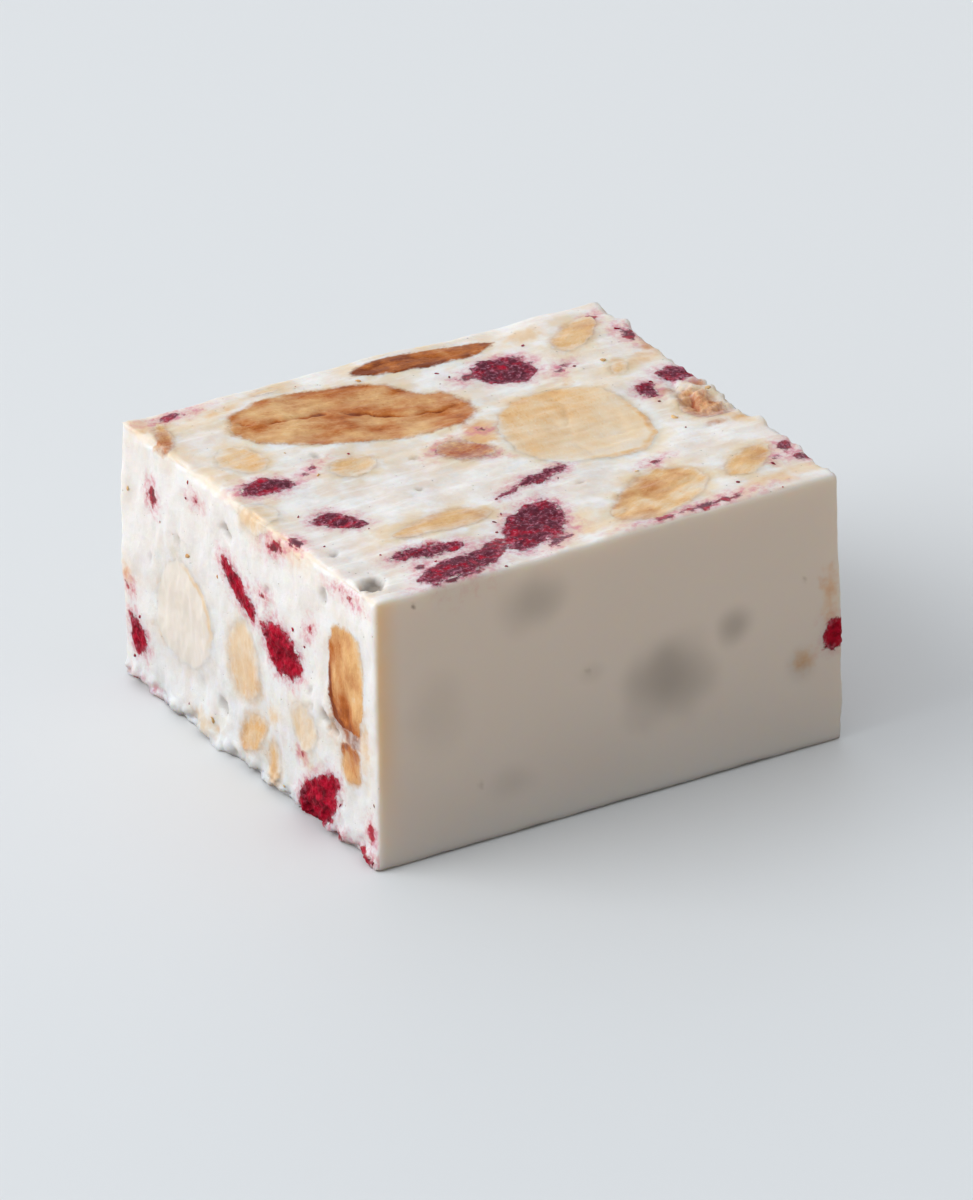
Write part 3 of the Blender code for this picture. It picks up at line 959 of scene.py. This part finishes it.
def makeInlay(inlay, material):
    points, faces = denseCopy(inlay)
    # it grows a little in the face, because the lip at its edge sinks below the white
    span = points - inlay.middle
    reach = np.abs(span @ inlay.aside).max()
    points = inlay.middle + span * (1 + inlay.grow / reach)
    flat = toSurface(points)
    skin, out, height = skinWithRelief(flat, 1.0 if inlay.isBerry else relief["nutGrain"])
    depth = ((skin - points) * out).sum(axis=1)
    onCap = smooth(*inlayForm["capFade"], depth)
    rim = inlay.rim(skin, out)
    span = skin - inlay.middle
    along, aside = span @ inlay.along, span @ inlay.aside
    brownSkin = np.zeros(len(points))
    if inlay.isBerry:
        tone, film = np.zeros(len(points)), 0.0
        own, detail = berryRelief(flat)
    else:
        film, grain, crack = nutLooks[inlay.name][1:]
        tone = inlay.toneAt(skin)
        own, detail = nutRelief(along, aside, rim, grain, crack)
        if inlay.name in nutSkins:
            way, strength = nutSkins[inlay.name]
            towards = (span @ np.array(way)) / (np.linalg.norm(span, axis=1) + 0.01)
            brownSkin = strength * smooth(*inlayForm["skinFade"], towards)
    drop = inlayForm["proud"] + inlayForm["sunk"]
    profile = inlayForm["proud"] - drop * smooth(*inlayForm["lip"], rim)
    flush = skin + out * (height + own * smooth(*inlayForm["reliefFade"], rim))[:, None]
    raised = flush + out * profile[:, None]
    sunk = points - out * inlayForm["sunk"]
    flush = sunk + (flush - sunk) * onCap[:, None]
    points = sunk + (raised - sunk) * onCap[:, None]
    points[:, 2] = np.maximum(points[:, 2], -halfSize[2])
    attributes = {
        "edge": rim,
        "grain": np.column_stack([along, aside, depth]),
        "detail": detail,
        "brownSkin": brownSkin,
        "tone": tone,
        "film": np.full(len(points), film),
        "stained": np.full(len(points), nutStains.get(inlay.name, 0.0)),
        "lid": np.clip(out[:, 2], 0, 1),
    }
    return meshObject(inlay.name + "_piece", points, faces, attributes, material, flush)


# colours of the white and of what shows through it
white = {
    "moulded": rgb(236, 231, 225),
    "clean": rgb(239, 240, 240),
    "thin": rgb(227, 212, 198),
    # the brightest white, also a painted highlight on the top
    "bright": rgb(249, 247, 244),
    "warm": rgb(234, 216, 198),
    "rosy": rgb(230, 214, 214),
    "cool": rgb(222, 224, 222),
    "overNut": rgb(236, 206, 160),
    "pink": rgb(214, 122, 142),
    "grey": rgb(108, 103, 96),
    # the painted shade in pits and pores
    "pit": rgb(150, 138, 126),
    "behindAcross": (-17.2, -20.2),   # where the nuts behind the front tint it, in mm
    "behindUp": (1.0, 13.0),
}
nutStops = (
    (0.0, rgb(237, 230, 220)), (0.2, rgb(234, 208, 173)), (0.4, rgb(230, 184, 127)),
    (0.6, rgb(209, 151, 97)), (0.8, rgb(186, 104, 40)), (1.0, rgb(130, 58, 14)),
)
berryColours = {
    "deep": rgb(104, 3, 22),
    "red": rgb(182, 8, 44),
    "bright": rgb(218, 38, 80),
    # pale flecks: dust, and on the top a painted sheen
    "dustAndSheen": rgb(208, 140, 160),
    # a greyed red: the painted sheen on the top berries
    "dulledBySheen": rgb(96, 42, 58),
    "onNut": rgb(164, 74, 66),
}
# what lies over the clean white, and over the deep red: its noise, where that starts and is full, its
# share with what the top adds to it, and its colour
whiteLayers = (
    ("cloud", (0.44, 0.66), (0.2, 0.75), "thin"),
    (None, None, (0.0, 0.5), "warm"),
    # bright patches on the top only: a painted highlight
    ("cloud", (0.52, 0.36), (0.0, 0.55), "bright"),
    ("rosy", (0.52, 0.72), (0.2, 0.2), "rosy"),
    ("rosy", (0.48, 0.30), (0.5, 0.0), "cool"),
    # bright drag streaks, more on the top: the white's own streaks and a painted highlight
    ("drag", (0.50, 0.70), (0.25, 0.4), "bright"),
)
berryLayers = (
    ("berryCloud", (0.36, 0.64), (1.0, 0.0), "red"),
    ("berryFine", (0.52, 0.70), (0.55, -0.35), "bright"),
    # on the top the berries are greyed and flecked pale: a painted sheen
    ("berryCloud", (0.72, 0.46), (0.0, 0.85), "dulledBySheen"),
    ("berryFine", (0.50, 0.66), (0.0, 0.5), "dustAndSheen"),
)
# how many grains of a berry and bubbles of the white are in a mm
cellScale = {"berry": 2.4, "bubbles": 1.9}
# how far the line where two things meet wanders, in mm, broadly and finely
edgeWander = (1.3, 0.5)
# how each is painted: where a thing starts and is full, in mm from an edge or on its noise, with its
# share as a third value, or a share with what the top, the cut or the tone adds to it
whitePaint = {
    "pores": (0.15, 0.07),
    "porous": (0.52, 0.62),
    "poreShade": 0.55,
    "halo": (-2.3, 0.1),
    "haloCloud": (0.36, 0.64),
    "haloShare": (0.2, 0.45),
    "behindShare": (0.6, 0.5),
    "nutPatches": 0.6,
    "nutFilm": 0.8,
    "stain": (-1.5, 0.1),
    "stainCloud": (0.42, 0.66),
    "stainFar": 0.7,
    "stainNear": (-1.0, 0.2, 0.3),
    "stainShare": (0.25, 0.75),
    "shade": 0.62,
    "heights": (0.04, 0.035, 0.07),   # of the fine grain, the drag marks and the pores
    "rough": (0.36, 0.18),
    "roughSwing": 0.16,
}
nutPaint = {
    "wander": 0.7,
    "blur": (0.18, 1.1),
    "smear": (0.40, 0.70),
    "skinLine": (-0.1, 0.15),
    "skinLineEnd": (0.75, 0.30),
    "skinShade": 0.45,
    "dark": (0.56, 0.72, 0.16),
    "light": (0.44, 0.30, 0.14),
    "uneven": (0.06, 2.4),
    "cleft": (0.12, 0.8, 0.28),
    "stainPatch": (0.30, 0.62, 0.6),
    "stainSpeck": (0.46, 0.60, 0.5),
    "film": (1.6, 0.2, 0.5),
    "filmLeast": 0.35,
    "fibreHeight": 0.05,
    "fineHeight": (0.012, 0.05),
    "bump": 0.8,
    "roughSwing": 0.16,
}
berryPaint = {
    "wander": 0.8,
    "line": (-0.10, 0.16),
    "hollow": (0.55, 0.85, 0.4),
    "pinkRim": (0.55, 0.1),
    "pinkCloud": (0.38, 0.62),
    "pink": 0.6,
    "fleckGrain": (0.30, 0.12),
    "fleckFine": (0.46, 0.60),
    # the pale flecks grow on the top, where they are a painted sheen
    "fleckShare": (0.04, 0.6),
    "grainHeight": -0.12,
    "fineHeight": 0.10,
    "bump": 0.9,
    "rough": 0.60,
    "roughSwing": 0.2,
}
# the light that goes into each: its share, its reach for red, green and blue, that reach in mm, and how
# much light the surface itself throws back
depths = {
    "white": (0.5, (1.0, 0.70, 0.44), 1.9, 0.45),
    "nut": (0.2, (1.0, 0.6, 0.3), 1.2, 0.16),
    "berry": (0.12, (1.0, 0.25, 0.25), 0.7, 0.10),
}


def depthInputs(name):
    share, radius, reach, shine = depths[name]
    return {
        "Subsurface Weight": share,
        "Subsurface Radius": radius,
        "Subsurface Scale": reach * mm,
        "Specular IOR Level": shine,
    }


def placeInMm(tree):
    return tree.stretched(tree.objectPlace(), (1 / mm, 1 / mm, 1 / mm))


def edgeNoise(tree, place):
    # the same on both things that meet
    broad, small = edgeWander
    return tree.noise(place, "edgeBroad").swing(broad) + tree.noise(place, "edgeSmall").swing(small)


def whiteColour(tree, place, lid):
    noises = {name: tree.noise(place, name) for name in ("cloud", "rosy", "drag")}
    return tree.layers(white["clean"], whiteLayers, white, noises, lid), noises["drag"]


def nutTint(tree, depth):
    return tree.add("ShaderNodeValToRGB", {"stops": nutStops}, {"Fac": depth.clamped()})


def berryTint(tree, place, lid):
    noises = {name: tree.noise(place, name) for name in ("berryCloud", "berryFine")}
    colour = tree.layers(berryColours["deep"], berryLayers, berryColours, noises, lid)
    fine, grains = noises["berryFine"], tree.cells(place, cellScale["berry"])
    # pale flecks, more of them on the top: dust and a painted sheen
    flecks = grains.step(*berryPaint["fleckGrain"]) * fine.step(*berryPaint["fleckFine"])
    share = rising(berryPaint["fleckShare"], lid)
    return tree.blend(flecks * share, colour, berryColours["dustAndSheen"]), grains, fine


def nutCover(tree, place, edge, film):
    # where a nut shows, over a width that grows with the film on it, and where the film covers it
    shown = (edge / rising(nutPaint["blur"], film)).step(-1.0, 1.0)
    return shown, (film * tree.noise(place, "smear").step(*nutPaint["smear"])).clamped()


def whiteMaterial():
    material, tree = newMaterial("nougat white")
    paint = whitePaint
    place = placeInMm(tree)
    cut, lid = tree.attribute("cut"), tree.attribute("lid")
    nutEdge, berryEdge = tree.attribute("nutEdge"), tree.attribute("berryEdge")
    tone, film = tree.attribute("tone"), tree.attribute("film")
    shade, pit = tree.attribute("shade"), tree.attribute("pit")
    wander = edgeNoise(tree, place)
    fine = tree.noise(place, "fine")
    bubbles = tree.cells(place, cellScale["bubbles"])
    pores = bubbles.step(*paint["pores"]) * tree.noise(place, "porous").step(*paint["porous"]) * cut
    colour, drag = whiteColour(tree, place, lid)
    colour = tree.blend(cut, white["moulded"], colour)
    # a nut just under the surface tints the white, and right at it the nut itself shows
    broad = tree.noise(place, "broad")
    halo = nutEdge.step(*paint["halo"]) * broad.step(*paint["haloCloud"]) * cut
    colour = tree.blend(halo * rising(paint["haloShare"], lid), colour, white["overNut"])
    # the front left edge is tinted by the nuts behind it
    across = tree.add("ShaderNodeSeparateXYZ", {}, {0: place})
    behind = across.step(*white["behindAcross"]) * across.other("Z").step(*white["behindUp"]) * (1 - cut)
    colour = tree.blend(behind * rising(paint["behindShare"], broad).clamped(), colour, white["overNut"])
    shown, cover = nutCover(tree, place, nutEdge + wander * nutPaint["wander"], film)
    nut = nutTint(tree, tone + tree.noise(place, "patches").swing(paint["nutPatches"]))
    colour = tree.blend(shown * (1 - cover * paint["nutFilm"]), colour, nut)
    stain = berryEdge.step(*paint["stain"]) * tree.noise(place, "stain").step(*paint["stainCloud"])
    stain = stain * paint["stainFar"] + berryEdge.partly(*paint["stainNear"])
    colour = tree.blend(stain * rising(paint["stainShare"], cut), colour, white["pink"])
    berry = berryTint(tree, place, lid)[0]
    berryShown = (berryEdge + wander * berryPaint["wander"]).step(*berryPaint["line"])
    colour = tree.blend(berryShown, colour, berry)
    colour = tree.blend(shade * paint["shade"], colour, white["grey"])
    # painted shade in the pores and in the pits
    colour = tree.blend((pores * paint["poreShade"] + pit).clamped(), colour, white["pit"])
    fineHeight, dragHeight, poreDepth = paint["heights"]
    height = fine * fineHeight * cut + drag * dragHeight * lid - pores * poreDepth
    finishMaterial(tree, {
        "Base Color": colour,
        "Roughness": rising(paint["rough"], cut) + fine.swing(paint["roughSwing"]),
        "Normal": tree.bump(height),
        **depthInputs("white"),
    })
    return material


# how each kind of nut is finished: how far its fibres and patches change its tone, and its roughness
nutKinds = {
    "nut_pale": {"fibre": 0.14, "patch": 0.70, "rough": 0.52},
    "nut_toasted": {"fibre": 0.28, "patch": 1.0, "rough": 0.54},
    "nut_caramel": {"fibre": 0.45, "patch": 1.2, "rough": 0.50},
}


def nutMaterial(slot):
    material, tree = newMaterial(slot.replace("_", " "))
    kind, paint = nutKinds[slot], nutPaint
    grain = tree.attribute("grain", output=1)
    place = placeInMm(tree)
    edge, tone, film = tree.attribute("edge"), tree.attribute("tone"), tree.attribute("film")
    cleft, brownSkin, lid = tree.attribute("detail"), tree.attribute("brownSkin"), tree.attribute("lid")
    fibres, specks = tree.noise(grain, "fibres"), tree.noise(grain, "specks")
    patches, fine = tree.noise(place, "patches"), tree.noise(place, "nutFine")
    # a brown line of skin along one side
    line = edge.step(*paint["skinLine"]) * edge.step(*paint["skinLineEnd"]) * brownSkin
    uneven = fibres.swing(kind["fibre"]) + patches.swing(kind["patch"])
    uneven = uneven + specks.partly(*paint["dark"]) - specks.partly(*paint["light"])
    depth = tone + uneven * rising(paint["uneven"], tone).clamped()
    depth = depth + line * paint["skinShade"] + cleft.partly(*paint["cleft"])
    colour = nutTint(tree, depth)
    stained = patches.partly(*paint["stainPatch"]) + specks.partly(*paint["stainSpeck"])
    stained = (tree.attribute("stained") * stained).clamped()
    colour = tree.blend(stained, colour, berryColours["onNut"])
    clean = whiteColour(tree, place, lid)[0]
    shown, cover = nutCover(tree, place, edge + edgeNoise(tree, place) * paint["wander"], film)
    near = edge.partly(*paint["film"]) + paint["filmLeast"]
    colour = tree.blend(shown * (1 - cover * near), clean, colour)
    height = fibres * (paint["fibreHeight"] * tone).clamped()
    height = height + fine * rising(paint["fineHeight"], tone).clamped()
    finishMaterial(tree, {
        "Base Color": colour,
        "Roughness": kind["rough"] + fine.swing(paint["roughSwing"]),
        "Normal": tree.bump(height, paint["bump"]),
        **depthInputs("nut"),
    })
    return material


def berryMaterial():
    material, tree = newMaterial("berry")
    paint = berryPaint
    place = placeInMm(tree)
    edge, lid = tree.attribute("edge"), tree.attribute("lid")
    hollows = tree.attribute("detail")
    colour, grains, fine = berryTint(tree, place, lid)
    colour = tree.blend(hollows.partly(*paint["hollow"]), colour, berryColours["deep"])
    clean = whiteColour(tree, place, lid)[0]
    tornEdge = edge + edgeNoise(tree, place) * paint["wander"]
    pinkRim = tornEdge.step(*paint["pinkRim"]) * fine.step(*paint["pinkCloud"])
    colour = tree.blend(pinkRim * paint["pink"], colour, white["pink"])
    colour = tree.blend(tornEdge.step(*paint["line"]), clean, colour)
    height = grains * paint["grainHeight"] + fine * paint["fineHeight"]
    finishMaterial(tree, {
        "Base Color": colour,
        "Roughness": paint["rough"] + fine.swing(paint["roughSwing"]),
        "Normal": tree.bump(height, paint["bump"]),
        **depthInputs("berry"),
    })
    return material


slots = {part["node"]: part["material_slot"] for part in frame["record"]["subparts"]}
finishes = {slot: nutMaterial(slot) for slot in nutKinds}
finishes["berry"] = berryMaterial()
finishes["nougat"] = whiteMaterial()

body = makeBody(finishes["nougat"])
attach(body, "root")
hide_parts("nougat_body")
print("white block made,", len(body.data.polygons), "faces")

faceCount = 0
for inlay in inlays:
    piece = makeInlay(inlay, finishes[slots[inlay.name]])
    faceCount += len(piece.data.polygons)
    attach(piece, "root")
    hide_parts(inlay.name)
print("nuts and berries made,", faceCount, "faces")

# crumbs strewn over the cut faces by Geometry Nodes: how many on a square mm where they are likely,
# their smallest and largest half size in mm, how far they sink in, and how lumpy they are
strewn = {
    "berry_crumbs": {
        "slot": "berry",
        "seed": 11,
        "often": 0.10,
        "smallest": (0.06, 0.05, 0.03),
        "largest": (0.26, 0.17, 0.07),
        "sink": 0.02,
        "lumpy": 0.14,
        "edge": "berryEdge",
        "near": (-2.2, -0.4, 0.10),   # mm from a berry, and how likely one is elsewhere
        "byBroken": 0.0,              # how many more lie by the broken nut
    },
    "nut_crumbs": {
        "slot": "nut_toasted",
        "seed": 23,
        "often": 0.025,
        "smallest": (0.10, 0.08, 0.04),
        "largest": (0.42, 0.28, 0.09),
        "sink": 0.04,
        "lumpy": 0.18,
        "edge": "nutEdge",
        "near": (-2.0, -0.6, 0.35),
        "byBroken": 8.0,
    },
}
crumbForm = {
    "segments": 8,
    "rings": 5,
    "turn": (0.3, 0.3, 6.28),
    "lumpScale": 2.6,
    "cutLeast": 0.9,
    "fromFoot": 0.4,
    "clear": {"nutEdge": -0.4, "berryEdge": -0.15},   # mm outside the nuts and the berries
    "brokenReach": (6.0, 3.0),
    "looks": {
        "edge": 3.0, "tone": 0.5, "film": 0.1, "lid": 0.5, "cut": 1.0, "nutEdge": -4.0, "berryEdge": -4.0,
    },
}
crumbInputs = {
    "often": "Float", "seed": "Int", "smallest": "Vector", "largest": "Vector", "sink": "Float",
    "lumpy": "Float",
}


def likelyAt(form):
    # how likely a crumb is at each point of the block
    points = np.array([vertex.co for vertex in body.data.vertices]) / mm - (0, 0, halfSize[2])
    values = {}
    for attribute in ("cut", "nutEdge", "berryEdge"):
        values[attribute] = np.empty(len(points))
        body.data.attributes[attribute].data.foreach_get("value", values[attribute])
    free = (values["cut"] > crumbForm["cutLeast"]) & (points[:, 2] > crumbForm["fromFoot"] - halfSize[2])
    for edge, clear in crumbForm["clear"].items():
        free &= values[edge] < clear
    far, near, elsewhere = form["near"]
    likely = elsewhere + (1 - elsewhere) * smooth(far, near, values[form["edge"]])
    toBroken = np.linalg.norm(points - brokenAt, axis=1)
    likely += form["byBroken"] * smooth(*crumbForm["brokenReach"], toBroken)
    return free * likely


def strewTree(name, material):
    group = bpy.data.node_groups.new(name, "GeometryNodeTree")
    group.interface.new_socket(name="Geometry", in_out="OUTPUT", socket_type="NodeSocketGeometry")
    group.interface.new_socket(name="Geometry", in_out="INPUT", socket_type="NodeSocketGeometry")
    for label, kind in crumbInputs.items():
        group.interface.new_socket(name=label, in_out="INPUT", socket_type="NodeSocket" + kind)
    tree = Tree(group)
    given = tree.add("NodeGroupInput", {}, {})
    likely = tree.add("GeometryNodeInputNamedAttribute", {"data_type": "FLOAT"}, {"Name": "likely"})
    perSquareMetre = 1 / mm ** 2
    spots = tree.add("GeometryNodeDistributePointsOnFaces", {}, {
        "Mesh": given,
        "Density": likely * given.other("often") * perSquareMetre,
        "Seed": given.other("seed"),
    })
    crumb = tree.add("GeometryNodeMeshUVSphere", {}, {
        "Segments": crumbForm["segments"], "Rings": crumbForm["rings"], "Radius": 1.0,
    })
    tilt, lean, turn = crumbForm["turn"]
    spin = tree.add("FunctionNodeRandomValue", {"data_type": "FLOAT_VECTOR"}, {
        0: (-tilt, -lean, 0.0), 1: (tilt, lean, turn),
    })
    turned = tree.add("FunctionNodeRotateRotation", {"rotation_space": "LOCAL"}, {
        "Rotation": spots.other("Rotation"), "Rotate By": spin,
    })
    size = tree.add("FunctionNodeRandomValue", {"data_type": "FLOAT_VECTOR"}, {
        0: given.other("smallest"), 1: given.other("largest"), "Seed": given.other("seed"),
    })
    placed = tree.add("GeometryNodeInstanceOnPoints", {}, {
        "Points": spots, "Instance": crumb, "Rotation": turned, "Scale": tree.stretched(size, (mm, mm, mm)),
    })
    depth = tree.add("ShaderNodeCombineXYZ", {}, {"Z": given.other("sink") * -mm})
    sunk = tree.add("GeometryNodeTranslateInstances", {}, {"Instances": placed, "Translation": depth})
    real = tree.add("GeometryNodeRealizeInstances", {}, {"Geometry": sunk})
    where = tree.stretched(tree.add("GeometryNodeInputPosition", {}, {}), (1 / mm, 1 / mm, 1 / mm))
    wave = {"Vector": where, "Scale": crumbForm["lumpScale"], "Detail": 2.0}
    bulge = tree.add("ShaderNodeTexNoise", {}, wave, output=1)
    centred = tree.vectors("SUBTRACT", {0: bulge, 1: (0.5, 0.5, 0.5)})
    scaled = tree.vectors("SCALE", {0: centred, "Scale": given.other("lumpy") * mm * 2})
    lumpy = tree.add("GeometryNodeSetPosition", {}, {"Geometry": real, "Offset": scaled})
    finished = tree.add("GeometryNodeSetMaterial", {}, {"Geometry": lumpy, "Material": material})
    tree.add("NodeGroupOutput", {}, {"Geometry": finished})
    return group


def strew(name, form):
    # a bare copy of the block carries the crumbs, and only they stay
    ground = bpy.data.objects.new(name + " ground", body.data.copy())
    bpy.context.scene.collection.objects.link(ground)
    layer = ground.data.attributes.new("likely", "FLOAT", "POINT")
    layer.data.foreach_set("value", likelyAt(form).astype(float))
    modifier = ground.modifiers.new(name, "NODES")
    modifier.node_group = strewTree(name, finishes[form["slot"]])
    for item in modifier.node_group.interface.items_tree:
        if item.in_out == "INPUT" and item.name in crumbInputs:
            modifier[item.identifier] = form[item.name]
    graph = bpy.context.evaluated_depsgraph_get()
    mesh = bpy.data.meshes.new_from_object(ground.evaluated_get(graph))
    ground.modifiers.clear()
    bpy.data.objects.remove(ground)
    for attribute in ("likely", "nutEdge", "berryEdge", "tone", "film", "cut", "lid", "shade", "pit"):
        if attribute in mesh.attributes:
            mesh.attributes.remove(mesh.attributes[attribute])
    for attribute, value in crumbForm["looks"].items():
        layer = mesh.attributes.new(attribute, "FLOAT", "POINT")
        layer.data.foreach_set("value", np.full(len(mesh.vertices), value))
    for vertex in mesh.vertices:
        vertex.co.z = max(vertex.co.z, 0.0)
    mesh.shade_smooth()
    piece = bpy.data.objects.new(name, mesh)
    bpy.context.scene.collection.objects.link(piece)
    return piece


for name, form in strewn.items():
    piece = strew(name, form)
    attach(piece, "root")
    print(name, "strewn,", len(piece.data.polygons), "faces")
